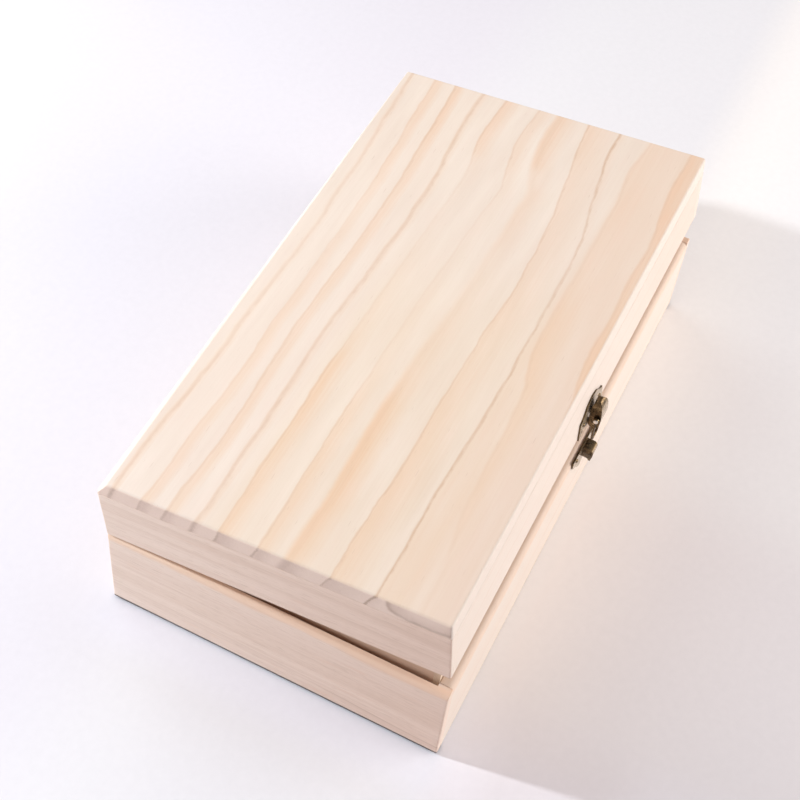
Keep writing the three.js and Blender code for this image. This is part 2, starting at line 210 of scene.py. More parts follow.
# The lid's growth lines, from the hinge side to the latch side: course (x, y) and
# strength (x, 0 to 1) in mm along the lid, then the thin line and the band.
GROWTH = [
    ([(-147, 71.5), (-130, 72), (-105, 71.5), (-80, 70.75), (-65, 70), (-35, 71), (-10, 70.2), (20, 70), (50, 71.5), (80, 72.8), (110, 75.3), (147, 77.8)],
     [(-147, 0.95), (-60, 0.7), (0, 0.5), (70, 0.6), (147, 0.95)], (0.50, 1.3, 1.5), (0.42, 0.9, 1.8, 2.2, 1.0)),
    ([(-147, 57.5), (-130, 56.5), (-115, 57), (-85, 56), (-60, 56), (-35, 57.5), (-15, 57), (10, 57.4), (45, 57.8), (80, 59.5), (110, 62), (147, 64.5)],
     [(-147, 0.85), (-100, 0.75), (-40, 0.8), (10, 0.6), (60, 0.9), (85, 1.15), (100, 1.0), (125, 1.2), (147, 1.1)], (0.26, 0.5, 1.0), (0.55, 0.6, 2.8, 3.6, 0.9)),
    ([(-147, 45.6), (-128, 45), (-108, 44.1), (-80, 45), (-58, 46.4), (-35, 47.2), (-10, 47), (20, 46.4), (55, 47), (80, 48), (105, 50), (130, 51.6), (147, 53.4)],
     [(-147, 0.75), (-90, 0.85), (-50, 0.7), (0, 0.8), (60, 1.0), (95, 1.15), (110, 1.4), (147, 1.35)], (0.42, 0.5, 1.1), (0.60, 0.6, 2.8, 3.6, 0.9)),
    ([(-147, 32.9), (-130, 32.3), (-108, 33.1), (-84, 33.0), (-62, 34.2), (-40, 35.0), (-15, 34.2), (20, 33.2), (60, 33.0), (85, 34), (107, 36.8), (128, 37.8), (147, 37.6)],
     [(-147, 0.8), (-80, 0.9), (-20, 0.7), (40, 0.8), (100, 1.0), (147, 0.9)], (0.62, 1.0, 1.7), (0.36, 0.8, 2.0, 2.6, 1.0)),
    ([(-147, 21.3), (-130, 21.8), (-105, 22.4), (-80, 22.4), (-58, 23.0), (-35, 22.4), (0, 21.8), (40, 21.3), (78, 20.6), (92, 21.2), (102, 23.5), (114, 25.4), (128, 25.5), (147, 24.5)],
     [(-147, 0.95), (-110, 0.9), (-60, 1.1), (-35, 0.5), (0, 0.25), (85, 0.2), (104, 0.85), (125, 1.2), (147, 1.1)], (0.42, 0.45, 1.0), (0.66, 0.6, 2.4, 7.6, 1.15)),
    ([(-147, 4.1), (-125, 4.0), (-105, 4.5), (-80, 5.0), (-50, 5.0), (0, 4.4), (45, 3.0), (70, 2.0), (86, 1.4), (95, 3.6), (108, 6.2), (120, 7.8), (132, 7.3), (147, 6.8)],
     [(-147, 0.9), (-80, 0.9), (-50, 0.5), (0, 0.2), (60, 0.22), (92, 0.5), (118, 0.9), (147, 0.6)], (0.42, 0.4, 0.9), (0.56, 0.7, 2.8, 6.0, 1.1)),
    ([(-147, -8.0), (-130, -8.2), (-112, -9.4), (-92, -8.4), (-65, -7.6), (-40, -8.2), (0, -10.2), (40, -11.0), (75, -11.0), (88, -11.0), (98, -8.0), (110, -4.6), (122, -3.2), (147, -2.8)],
     [(-147, 0.75), (-120, 1.0), (-75, 1.05), (-50, 0.7), (-20, 0.35), (30, 0.25), (60, 0.5), (85, 0.55), (96, 0.45), (110, 1.0), (147, 1.05)], (0.16, 2.6, 2.0), (0.84, 1.6, 3.4, 9.5, 1.15)),
    ([(-147, -28.4), (-130, -28.0), (-112, -28.3), (-88, -29.4), (-55, -29.2), (-20, -29.5), (0, -29.8), (18, -31.0), (45, -30.3), (66, -29.5), (90, -26.6), (115, -23.0), (132, -20.6), (147, -19.7)],
     [(-147, 0.85), (-100, 1.0), (-60, 0.9), (-25, 0.7), (20, 0.85), (70, 0.8), (100, 0.75), (130, 1.1), (147, 1.1)], (0.55, 0.4, 0.9), (0.60, 0.6, 2.2, 15.0, 1.1)),
    ([(-147, -47.7), (-120, -48.0), (-90, -47.7), (-55, -48.7), (-20, -49.2), (0, -48.8), (28, -48.2), (52, -47.6), (72, -45.8), (90, -42.2), (108, -39.4), (126, -36.4), (147, -36.2)],
     [(-147, 1.0), (-105, 1.05), (-60, 0.75), (-20, 0.75), (40, 0.5), (80, 0.6), (110, 0.75), (130, 1.25), (147, 1.1)], (0.95, 0.3, 1.15), (0.26, 0.5, 1.2, 3.5, 1.0)),
    ([(-147, -66.0), (-125, -65.5), (-100, -61.5), (-75, -60.0), (-45, -59.2), (-30, -58.2), (-18, -55.6), (-6, -53.2), (12, -52.2), (60, -52.2), (100, -51.6), (120, -49.6), (134, -50.8), (147, -51.8)],
     [(-147, 0.15), (-110, 0.3), (-80, 0.5), (-35, 0.75), (-15, 1.0), (20, 0.85), (60, 0.6), (100, 1.0), (125, 0.9), (147, 0.7)], (0.22, 0.7, 1.3), (0.50, 1.0, 2.4, 11.0, 1.1)),
    ([(-147, -88.0), (-90, -83.0), (-50, -80.5), (-27, -78.8), (-12, -76.6), (0, -75.3), (25, -76.3), (50, -75.3), (80, -75.4), (100, -73.6), (120, -71.8), (132, -72.6), (147, -72.6)],
     [(-147, 0.6), (-30, 0.7), (0, 1.0), (40, 1.0), (75, 1.0), (105, 1.3), (147, 1.25)], (0.28, 0.5, 1.1), (0.86, 0.9, 3.0, 8.0, 1.1)),
]


def make_pine_top():
    g = Graph("pine_top")
    a, b, c, endg = wood_inputs(g)
    s1, s2, pores = fibres(g, a, b, c)
    wig = g.noise(g.vec(g.mul(a, 0.05), g.mul(b, 0.045), g.mul(c, 0.05)), 1.0, 2.0, 0.5)
    jit = g.noise(g.vec(g.mul(a, 0.22), g.mul(b, 0.25), g.mul(c, 0.25)), 1.0, 2.0, 0.55)
    t = g.rng(a, -147, 147)
    s = g.add(b, g.mul(g.sub(wig, 0.5), 2.2))
    s = g.add(s, g.mul(g.sub(jit, 0.5), 1.0))
    s = g.add(s, g.mul(g.sub(s1, 0.5), 1.5))
    s = g.sub(s, g.mul(c, g.rng(b, 20, -50, 0.42, 0.62)))
    soft, thin, zone = None, None, None
    for course, strength, line, band in GROWTH:
        pts = []
        for x, y in course:
            dd = drop(x, y)
            pts.append(((min(L2, x + 0.766 * dd * (x > -L2)) + L2) / (2 * L2), (y + 0.314 * dd + 100.0) / 200.0))
        st = [((x + L2) / (2 * L2), k) for x, k in strength]
        b1, l1, d1 = growth_line(g, t, s, pts, st, line, band)
        soft = b1 if soft is None else g.m("MAXIMUM", soft, b1)
        thin = l1 if thin is None else g.m("MAXIMUM", thin, l1)
        if course[0][1] == -47.7:
            zone = g.rng(d1, -0.5, 4.0, 0.0, 1.0, True)
    mott = g.noise(g.vec(g.mul(a, 0.014), g.mul(b, 0.10), g.mul(c, 0.1)), 1.0, 3.0, 0.55)
    wide = g.noise(g.vec(g.mul(a, 0.006), g.mul(b, 0.02), 3.3), 1.0, 2.0)
    cream = g.mix(g.rng(mott, 0.32, 0.68), TONE["cream"], TONE["cream2"])
    cream = g.mix(g.mul(g.rng(wide, 0.4, 0.65), 0.5), cream, TONE["rosy"])
    far = g.rng(a, -20, 60, 0.0, 1.0, True)
    zone = g.mul(zone, g.lerp(far, 1.0, g.rng(b, -49, -54)))
    cream = g.mix(g.mul(zone, g.rng(mott, 0.3, 0.7, 0.95, 0.55)), cream, TONE["zone"])
    blot = g.noise(g.vec(g.mul(a, 0.045), g.mul(b, 0.16), g.mul(c, 0.16)), 1.0, 3.0, 0.6)
    soft = g.mul(soft, g.mul(g.rng(s1, 0.25, 0.75, 0.80, 1.14), g.rng(blot, 0.32, 0.68, 0.78, 1.12)))
    band = g.mix(g.rng(blot, 0.35, 0.65), TONE["band"], TONE["band2"])
    col = g.mix(soft, cream, g.mix(far, g.mix(1.0, band, (0.995, 0.955, 0.88), "MULTIPLY"), band))
    thin = g.mul(thin, g.mul(g.rng(jit, 0.3, 0.7, 0.60, 1.12), g.rng(s2, 0.3, 0.7, 0.85, 1.1)))
    col = g.mix(g.mul(thin, 0.9), col, TONE["line"])
    col = g.mix(g.mul(g.rng(blot, 0.50, 0.72), 0.10), col, g.mix(1.0, col, (0.985, 1.01, 0.95), "MULTIPLY"))
    col = g.mix(g.mul(g.rng(blot, 0.50, 0.28), 0.35), col, g.mix(1.0, col, (1.02, 0.985, 0.985), "MULTIPLY"))
    col = g.mix(1.0, col, g.mix(g.rng(a, -140, 120), (0.975, 0.990, 0.975), (1.020, 1.036, 1.003)), "MULTIPLY")
    amber = g.mul(g.mul(g.rng(b, 32, 22), g.rng(b, -72, -58)), g.sub(1.0, far))
    col = g.mix(g.mul(amber, g.rng(mott, 0.3, 0.7, 1.0, 0.6)), col, g.mix(1.0, col, (1.0, 0.985, 0.935), "MULTIPLY"))
    col = g.mix(g.rng(b, -78.9, -79.6), col, LID_PALE)
    # sawn end: greyer, lines stronger, one broad ring lying flat at the latch side
    ex = g.m("POWER", g.m("ABSOLUTE", g.m("DIVIDE", g.add(b, 68.5), 16.0)), 3.2)
    ez = g.m("POWER", g.m("MAXIMUM", g.m("DIVIDE", c, 8.1), 0.0), 2.6)
    el = g.m("POWER", g.add(ex, ez), 0.36)
    el = g.add(el, g.mul(g.sub(jit, 0.5), 0.16))
    arc = g.mul(g.rng(g.m("ABSOLUTE", g.sub(el, 0.97)), 0.17, 0.0, 0.0, 1.0, True), g.rng(blot, 0.3, 0.6, 0.55, 1.0))
    arc_in = g.mul(g.rng(el, 0.35, 0.95, 0.10, 0.85), g.rng(el, 1.06, 0.98, 0.0, 1.0))
    isarc = g.mul(g.rng(b, -50.5, -52.5), g.rng(a, 10.0, -10.0))
    patch = g.lerp(isarc, g.m("MULTIPLY", soft, 1.35, clamp=True), g.mul(arc_in, g.rng(blot, 0.3, 0.6, 0.6, 1.0)))
    mark = g.lerp(isarc, g.m("MULTIPLY", thin, 1.5, clamp=True), g.mul(arc, 0.6))
    ecol = g.mix(g.rng(s2, 0.2, 0.8), TONE["end_a"], TONE["end_b"])
    ecol = g.mix(patch, ecol, TONE["end_patch"])
    ecol = g.mix(g.mul(mark, 0.85), ecol, TONE["end_line"])
    col = g.mix(endg, col, ecol)
    col = g.mix(g.mul(g.rng(s1, 0.35, 0.72), 0.17), col, g.mix(1.0, col, TONE["streak"], "MULTIPLY"))
    dash = g.noise(g.vec(g.mul(a, 0.11), g.mul(b, 1.3), g.mul(c, 1.3)), 1.0, 1.0, 0.5)
    dash = g.rng(dash, 0.725, 0.80, 0.0, 1.0, True)
    col = g.mix(g.mul(g.m("MAXIMUM", g.mul(pores, 0.10), g.mul(dash, 0.26)), 1.0), col, g.mix(1.0, col, TONE["pore"], "MULTIPLY"))
    g.put(g.bsdf.inputs["Base Color"], col)
    g.put(g.bsdf.inputs["Roughness"], g.rng(s2, 0.2, 0.8, 0.52, 0.68))
    g.bsdf.inputs["Specular IOR Level"].default_value = 0.3
    h = g.add(g.mul(s2, 0.5), g.add(g.mul(soft, 0.3), g.mul(pores, -0.5)))
    g.put(g.bsdf.inputs["Normal"], g.bump(h, 0.22, 0.00012))
    return g.mat


def make_pine(name, pale, deep, line, seed, ring_w=7.0, pith=(30.0, -60.0), contrast=0.5, end=None, streaks=0.3, rim=None, fade=None):
    """Plain sawn pine: rings about a pith given in the board's own section, in mm."""
    g = Graph(name)
    a, b, c, endg = wood_inputs(g)
    sv = g.node("ShaderNodeAttribute", attribute_name="board").outputs["Fac"]
    off = g.mul(sv, 37.0)
    slow = g.noise(g.vec(g.add(g.mul(a, 0.006), off), g.mul(b, 0.03), g.mul(c, 0.03)), 1.0, 2.0)
    fine = g.noise(g.vec(g.add(g.mul(a, 0.035), off), g.mul(b, 0.16), g.mul(c, 0.16)), 1.0, 2.0)
    pb = g.add(g.sub(b, pith[0]), g.mul(g.sub(sv, 0.5), 70.0))
    pc = g.sub(c, pith[1])
    r = g.m("SQRT", g.add(g.mul(pb, pb), g.mul(pc, pc)))
    r = g.add(r, g.add(g.mul(g.sub(slow, 0.5), 16.0), g.mul(g.sub(fine, 0.5), 2.2)))
    ph = g.m("DIVIDE", r, ring_w)
    ring = g.m("FLOOR", ph)
    f = g.sub(ph, ring)
    rnd = g.node("ShaderNodeTexWhiteNoise", {"Vector": g.vec(ring, g.mul(sv, 91.0), seed)}).outputs[0]
    band = g.mul(g.m("POWER", f, 2.6), g.rng(rnd, 0, 1, 0.45, 1.0))
    edge = g.mul(g.rng(f, 0.90, 0.975, 0.0, 1.0, True), g.rng(f, 1.0, 0.985, 0.0, 1.0))
    s1, s2, pores = fibres(g, g.add(a, g.mul(off, 9.0)), b, c)
    blotch = g.noise(g.vec(g.add(g.mul(a, 0.012), off), g.mul(b, 0.05), 1.7), 1.0, 2.0)
    col = g.mix(g.rng(blotch, 0.3, 0.7), pale, g.mix(0.35, pale, deep))
    col = g.mix(g.mul(band, contrast), col, deep)
    col = g.mix(g.mul(edge, contrast * 0.8), col, line)
    if fade:
        col = g.mix(g.rng(a, fade[0], fade[1], 0.0, 1.0, True), col, g.mix(1.0, col, fade[2], "MULTIPLY"))
    # painted light: rim adds an orange glow along the top of the board, where light bounces in under the lid
    if rim:
        lo, hi, tint, amount = rim
        rim_glow_paint = g.mul(g.rng(g.add(b, g.mul(g.sub(fine, 0.5), 6.0)), lo, hi, 0.0, 1.0, True), g.rng(b, BASE_H + 0.1, BASE_H + 0.2, amount, 0.0))
        col = g.mix(rim_glow_paint, col, tint)
    endc = end or deep
    ecol = g.mix(g.mul(g.m("MAXIMUM", band, edge), 0.7), endc, line)
    col = g.mix(endg, col, ecol)
    col = g.mix(g.mul(g.rng(s1, 0.36, 0.70), streaks), col, g.mix(1.0, col, TONE["streak"], "MULTIPLY"))
    col = g.mix(g.mul(pores, 0.22), col, g.mix(1.0, col, TONE["pore"], "MULTIPLY"))
    g.put(g.bsdf.inputs["Base Color"], col)
    g.put(g.bsdf.inputs["Roughness"], g.rng(s2, 0.2, 0.8, 0.52, 0.70))
    g.bsdf.inputs["Specular IOR Level"].default_value = 0.3
    h = g.add(g.mul(s2, 0.6), g.add(g.mul(band, 0.3), g.mul(pores, -0.7)))
    g.put(g.bsdf.inputs["Normal"], g.bump(h, 0.25, 0.00013))
    return g.mat


def make_streaky(name, pale, deep, line, rim, seed, marks=()):
    """Quarter-sawn board: long low streaks, short dark and light flecks and, when rim is given, an orange glow of
    light painted along the rim and painted contact shade at the bottom edge.
    marks are single long lines: (course, strength, line, band) as growth_line takes them."""
    g = Graph(name)
    a, b, c, endg = wood_inputs(g)
    sv = g.node("ShaderNodeAttribute", attribute_name="board").outputs["Fac"]
    off = g.mul(sv, 53.0)
    ao = g.add(a, g.mul(off, 11.0))
    s1, s2, pores = fibres(g, ao, b, c)
    drift = g.noise(g.vec(g.mul(ao, 0.008), g.mul(b, 0.02), g.mul(c, 0.02)), 1.0, 2.0)
    bw = g.add(b, g.mul(g.sub(drift, 0.5), 9.0))
    broad = g.noise(g.vec(g.add(g.mul(ao, 0.0022), seed), g.mul(bw, 0.15), g.mul(c, 0.15)), 1.0, 2.0, 0.5)
    mid = g.noise(g.vec(g.add(g.mul(ao, 0.007), seed * 2.0), g.mul(bw, 0.55), g.mul(c, 0.55)), 1.0, 2.0, 0.5)
    mott = g.noise(g.vec(g.mul(ao, 0.03), g.mul(b, 0.06), g.mul(c, 0.06)), 1.0, 3.0, 0.55)
    k = g.add(g.mul(g.rng(broad, 0.36, 0.66, 0.0, 1.0, True), 0.62), g.mul(g.rng(mid, 0.42, 0.70, 0.0, 1.0, True), 0.38))
    k = g.mul(k, g.rng(mott, 0.3, 0.65, 0.55, 1.0))
    col = g.mix(k, pale, deep)
    for fa, fb, dark, light in ((0.10, 1.5, 0.50, 0.55), (0.19, 2.6, 0.42, 0.45)):
        fleck = g.noise(g.vec(g.mul(ao, fa), g.mul(b, fb), g.mul(c, fb)), 1.0, 1.0, 0.5)
        col = g.mix(g.mul(g.rng(fleck, 0.61, 0.75, 0.0, 1.0, True), dark), col, line)
        col = g.mix(g.mul(g.rng(fleck, 0.38, 0.26, 0.0, 1.0, True), light), col, g.mix(1.0, pale, (1.05, 1.04, 1.04), "MULTIPLY"))
    rust = g.noise(g.vec(g.mul(ao, 0.05), g.mul(b, 0.30), 7.7), 1.0, 2.0, 0.5)
    col = g.mix(g.mul(g.rng(rust, 0.60, 0.78, 0.0, 1.0, True), 0.35), col, (0.80, 0.56, 0.43))
    soft = thin = None
    t = g.rng(a, -80, 80)
    s = g.add(g.add(b, g.mul(g.sub(mott, 0.5), 1.6)), g.mul(g.sub(s1, 0.5), 0.9))
    for course, strength, ln, band in marks:
        b1, l1, _ = growth_line(g, t, s, [((x + 80.0) / 160.0, (z + 100.0) / 200.0) for x, z in course], [((x + 80.0) / 160.0, q) for x, q in strength], ln, band)
        soft = b1 if soft is None else g.m("MAXIMUM", soft, b1)
        thin = l1 if thin is None else g.m("MAXIMUM", thin, l1)
    if soft is not None:
        col = g.mix(soft, col, deep)
        col = g.mix(g.mul(thin, 0.8), col, line)
    if rim:
        lo, hi, tint, amount, painted_contact_shade = rim
        # painted light: an orange glow along the rim, where light bounces in under the lid
        painted_rim_glow = g.mul(g.rng(g.add(b, g.mul(g.sub(mott, 0.5), 9.0)), lo, hi, 0.0, 1.0, True), amount)
        col = g.mix(painted_rim_glow, col, tint)
        # painted shade: a near-black contact line along the bottom 2.3 mm of the board
        col = g.mix(g.mul(g.rng(b, 2.3, 1.6, 0.0, 1.0, True), 0.95), col, painted_contact_shade)
    # painted shading along the end boards: lighter at the hinge-side end and darker at the latch-side end, where the
    # light on the end falls off
    col = g.mix(1.0, col, g.mix(g.rng(a, 80, -80), (1.035, 1.070, 1.070), (0.965, 0.935, 0.915)), "MULTIPLY")
    if rim:
        col = g.mix(g.rng(b, 38, 14), col, g.mix(1.0, col, (1.045, 1.065, 1.075), "MULTIPLY"))
    ecol = g.mix(g.rng(s2, 0.25, 0.75), (0.775, 0.660, 0.575) if rim else LID_PALE, (0.755, 0.610, 0.520) if rim else (0.745, 0.650, 0.570))
    col = g.mix(endg, col, ecol)
    col = g.mix(g.mul(g.rng(s1, 0.36, 0.70), 0.30), col, g.mix(1.0, col, TONE["streak"], "MULTIPLY"))
    col = g.mix(g.mul(pores, 0.14), col, g.mix(1.0, col, TONE["pore"], "MULTIPLY"))
    g.put(g.bsdf.inputs["Base Color"], col)
    g.put(g.bsdf.inputs["Roughness"], g.rng(s2, 0.2, 0.8, 0.56, 0.72))
    g.bsdf.inputs["Specular IOR Level"].default_value = 0.28
    h = g.add(g.mul(s2, 0.6), g.add(g.mul(s1, 0.8), g.mul(pores, -0.6)))
    g.put(g.bsdf.inputs["Normal"], g.bump(h, 0.3, 0.00016))
    return g.mat


def make_bronze(name, dark, brown, bright, rough=0.24, wear=0.5, front_sheen_tone=None):
    """Cast bronze with a dark patina, rubbed bright on its edges. The last argument is a pale tone, half diffuse,
    painted on flat plate fronts as a stand-in for the pale floor they reflect.
    """
    g = Graph(name)
    tc = g.node("ShaderNodeTexCoord")
    co = tc.outputs["Object"]
    n1 = g.noise(co, 420.0, 4.0, 0.6)
    n2 = g.noise(co, 1900.0, 3.0, 0.6)
    point = g.node("ShaderNodeNewGeometry").outputs["Pointiness"]
    edge = g.rng(point, 0.505, 0.60, 0.0, 1.0, True)
    edge = g.mul(edge, g.rng(n1, 0.3, 0.6, 0.4, 1.0))
    col = g.mix(g.rng(n1, 0.35, 0.68), dark, brown)
    col = g.mix(g.mul(g.rng(n2, 0.52, 0.72), 0.35), col, bright)
    rgh = g.rng(n1, 0.2, 0.8, rough - 0.08, rough + 0.12)
    # painted reflection: flat fronts take a pale tone and only half metal, so they read lighter than the bronze
    if front_sheen_tone:
        ny = g.node("ShaderNodeSeparateXYZ", {0: tc.outputs["Normal"]}).outputs[1]
        flat = g.rng(g.m("ABSOLUTE", ny), 0.90, 0.97, 0.0, 1.0, True)
        col = g.mix(g.mul(flat, g.mul(g.rng(n1, 0.35, 0.65, 1.0, 0.45), g.rng(n2, 0.3, 0.7, 1.0, 0.8))), col, front_sheen_tone)
        rgh = g.lerp(flat, rgh, g.rng(n1, 0.2, 0.8, 0.14, 0.32))
    col = g.mix(g.mul(edge, wear), col, bright)
    g.put(g.bsdf.inputs["Base Color"], col)
    if front_sheen_tone:
        g.put(g.bsdf.inputs["Metallic"], g.lerp(flat, 1.0, 0.5))
    else:
        g.bsdf.inputs["Metallic"].default_value = 1.0
    g.put(g.bsdf.inputs["Roughness"], rgh)
    g.put(g.bsdf.inputs["Normal"], g.bump(n2, 0.10, 0.00006))
    return g.mat


TONE = {
    "cream": (0.775, 0.640, 0.555), "cream2": (0.835, 0.712, 0.628), "rosy": (0.800, 0.655, 0.560), "zone": (0.795, 0.615, 0.505),
    "band": (0.800, 0.548, 0.400), "band2": (0.785, 0.570, 0.440), "line": (0.645, 0.440, 0.320),
    "end_a": (0.850, 0.680, 0.580), "end_b": (0.790, 0.620, 0.520), "end_patch": (0.650, 0.490, 0.410), "end_line": (0.470, 0.330, 0.250),
    "streak": (0.90, 0.84, 0.79), "pore": (0.62, 0.50, 0.42),
}
LID_PALE = (0.748, 0.664, 0.598)
SIDE_PALE, SIDE_DEEP, SIDE_LINE = (0.750, 0.672, 0.606), (0.742, 0.628, 0.542), (0.690, 0.530, 0.430)
END_PALE, END_DEEP, END_LINE = (0.860, 0.688, 0.590), (0.765, 0.582, 0.480), (0.600, 0.435, 0.345)
MATS = {
    "top": make_pine_top(),
    # the base front board: an orange glow painted on its rim from 44 to 48 mm up
    "side": make_pine("pine_side", SIDE_PALE, SIDE_DEEP, SIDE_LINE, 1.3, 8.5, (20.0, -55.0), 0.45, (0.80, 0.63, 0.53), 0.2, (44.0, 48.0, (0.760, 0.590, 0.475), 0.85)),
    "side_back": make_pine("pine_side_back", (0.660, 0.560, 0.465), (0.630, 0.500, 0.385), (0.540, 0.390, 0.285), 6.3, 7.5, (20.0, -55.0), 0.55, (0.66, 0.50, 0.40), 0.3),
    "lid_side": make_pine("pine_lid_side", LID_PALE, (0.728, 0.635, 0.560), (0.680, 0.540, 0.450), 1.3, 8.5, (20.0, -55.0), 0.40, (0.80, 0.63, 0.53), 0.2, None, (30.0, 115.0, (0.985, 0.945, 0.925))),
    "lid_end": make_streaky("pine_lid_end", END_PALE, END_DEEP, END_LINE, None, 3.1,
                            [([(-80, 61.0), (-40, 62.3), (0, 63.4), (45, 64.6), (80, 65.0)], [(-80, 0.5), (-30, 0.9), (10, 0.6), (45, 0.5), (80, 0.2)], (0.25, 0.2, 0.5), (0.75, 0.8, 1.2, 2.6, 1.2)),
                             ([(-80, 71.5), (-30, 73.2), (10, 74.0), (45, 74.6), (80, 75.0)], [(-80, 0.9), (-55, 1.0), (-20, 0.5), (20, 0.8), (55, 0.5), (80, 0.3)], (0.25, 0.2, 0.5), (0.75, 0.8, 1.6, 3.0, 1.2))]),
    # the base ends: an orange glow painted on the rim from 45.4 to 48.6 mm up, and near-black painted contact shade
    # along the bottom edge
    "base_end": make_streaky("pine_base_end", END_PALE, END_DEEP, END_LINE, (45.4, 48.6, (0.850, 0.612, 0.462), 0.85, (0.045, 0.032, 0.028)), 7.7,
                             [([(-80, 11.0), (-30, 12.0), (20, 12.9), (80, 13.3)], [(-80, 0.3), (-20, 0.5), (30, 0.9), (72, 0.9), (80, 0.4)], (0.35, 0.2, 0.45), (0.5, 0.5, 0.8, 2.0, 1.0)),
                              ([(-80, 6.4), (-55, 7.6), (-28, 9.4), (0, 9.8), (80, 10.0)], [(-80, 1.0), (-45, 1.2), (-27, 0.9), (-20, 0.1), (80, 0.0)], (0.6, 0.4, 0.7), (0.9, 0.6, 1.0, 2.4, 1.0)),
                              ([(-80, 27.0), (-20, 29.5), (20, 31.0), (80, 32.0)], [(-80, 0.7), (-15, 0.7), (15, 0.3), (50, 0.6), (80, 0.2)], (0.35, 0.2, 0.4), (0.45, 0.5, 0.8, 2.4, 1.0))]),
    "insert": make_pine("pine_insert", (0.760, 0.630, 0.500), (0.720, 0.540, 0.390), (0.580, 0.400, 0.270), 8.1, 6.0, (40.0, -30.0), 0.5),
    # the insert's end boards: a darker copy of the insert's pine, painted shade for where they stand under the lid
    "insert_shaded": make_pine("pine_insert_shaded", (0.680, 0.475, 0.345), (0.600, 0.390, 0.270), (0.480, 0.300, 0.200), 8.1, 6.0, (40.0, -30.0), 0.5),
    "ply": make_pine("ply_floor", (0.700, 0.560, 0.420), (0.640, 0.480, 0.330), (0.500, 0.350, 0.220), 2.2, 11.0, (15.0, -90.0), 0.5),
    "bronze": make_bronze("antique_bronze", (0.030, 0.020, 0.012), (0.10, 0.062, 0.032), (0.52, 0.39, 0.22)),
    # plates and lever carry the painted pale reflection on their flat fronts
    "plate": make_bronze("bronze_plate", (0.030, 0.020, 0.012), (0.10, 0.062, 0.032), (0.52, 0.39, 0.22), 0.28, 0.3, (0.64, 0.52, 0.38)),
    "steel": make_bronze("bronzed_fasteners", (0.16, 0.11, 0.06), (0.30, 0.22, 0.13), (0.75, 0.62, 0.42), 0.28, 0.6),
    "rivet": make_bronze("worn_rivet", (0.80, 0.76, 0.70), (0.90, 0.87, 0.82), (0.95, 0.93, 0.90), 0.30, 0.6),
}


# ----------------------------------------------------------------------- boards
def board(name, node, body, mat, lo, hi, axes, seed=0.5, ease=0.8, sharp=0.25, ends_out=True, holes=(), shape=None, face_zero=None, cuts=None, eased=None):
    """A board from lo to hi, in mm, in the shut pose. axes names which of x, y, z run along the
    grain, across the board and in depth. eased(edge midpoint) gives each edge's radius."""
    lid = body == "lid"
    bm = bmesh.new()
    r = bmesh.ops.create_cube(bm, size=1.0)
    ctr = [(p + q) / 2 for p, q in zip(lo, hi)]
    dim = [q - p for p, q in zip(lo, hi)]
    for v in bm.verts:
        v.co = Vector([ctr[i] + v.co[i] * dim[i] for i in range(3)])
    # bevel weights let every edge have its own radius in one pass
    wl = bm.edges.layers.float.new("bevel_weight_edge")
    radii = [eased((e.verts[0].co + e.verts[1].co) / 2) if eased else ease for e in bm.edges]
    top = max(radii)
    for e, rad in zip(bm.edges, radii):
        e[wl] = rad / top
    me = bpy.data.meshes.new(name)
    bm.to_mesh(me)
    bm.free()
    ob = bpy.data.objects.new(name, me)
    bpy.context.scene.collection.objects.link(ob)
    mod = ob.modifiers.new("ease", "BEVEL")
    mod.limit_method = "WEIGHT"
    mod.width = top
    mod.segments = 4
    mod.use_clamp_overlap = True
    dg = bpy.context.evaluated_depsgraph_get()
    me2 = bpy.data.meshes.new_from_object(ob.evaluated_get(dg))
    ob.modifiers.clear()
    ob.data = me2
    bm = bmesh.new()
    bm.from_mesh(me2)
    # grid cuts, so that a surface can be shaped
    for i in range(3):
        n = (cuts or (0, 0, 0))[i]
        for p in (n if isinstance(n, (list, tuple)) else [lo[i] + dim[i] * k / (n + 1) for k in range(1, n + 1)]):
            no = Vector((0, 0, 0))
            no[i] = 1
            bmesh.ops.bisect_plane(bm, geom=bm.verts[:] + bm.edges[:] + bm.faces[:], plane_co=Vector(no) * p, plane_no=no, dist=1e-5)
    if shape:
        for v in bm.verts:
            shape(v)
    bm.normal_update()
    for e in bm.edges:
        if len(e.link_faces) == 2 and e.calc_face_angle(0.0) > math.radians(50):
            e.smooth = False
    wood, endg = [], []
    ai = ["xyz".index(ch) for ch in axes]
    zero = face_zero or lo
    for v in bm.verts:
        p = v.co
        wood.append((p[ai[0]] - ctr[ai[0]] * 0, p[ai[1]], abs(p[ai[2]] - zero[ai[2]])))
        endg.append(1.0 if abs(v.normal[ai[0]]) > 0.8 or any(abs(f.normal[ai[0]]) > 0.99 for f in v.link_faces) else 0.0)
    for v in bm.verts:
        q = lid_place(v.co) if lid else v.co
        v.co = Vector(q) * MM
    bm.to_mesh(me2)
    bm.free()
    a = me2.attributes.new("wood", "FLOAT_VECTOR", "POINT")
    a.data.foreach_set("vector", [c for w in wood for c in w])
    a = me2.attributes.new("endg", "FLOAT", "POINT")
    a.data.foreach_set("value", endg)
    a = me2.attributes.new("board", "FLOAT", "POINT")
    a.data.foreach_set("value", [seed] * len(endg))
    me2.polygons.foreach_set("use_smooth", [True] * len(me2.polygons))
    me2.materials.clear()
    me2.materials.append(MATS[mat])
    me2.name = name
    wn = ob.modifiers.new("normals", "WEIGHTED_NORMAL")
    wn.keep_sharp = True
    wn.weight = 100
    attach(ob, body)
    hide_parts(node)
    return ob


def rim(v0, v1):
    return lambda m: v1 if abs(m.z - v0[0]) < 0.01 or abs(m.z - v0[1]) < 0.01 else v0[2]


# lid top panel
def shape_top(v):
    if v.co.z > LID_T - 4.5:
        k = min(1.0, (v.co.z - (LID_T - 4.5)) / 3.5)
        v.co.z -= drop(v.co.x, v.co.y) * k


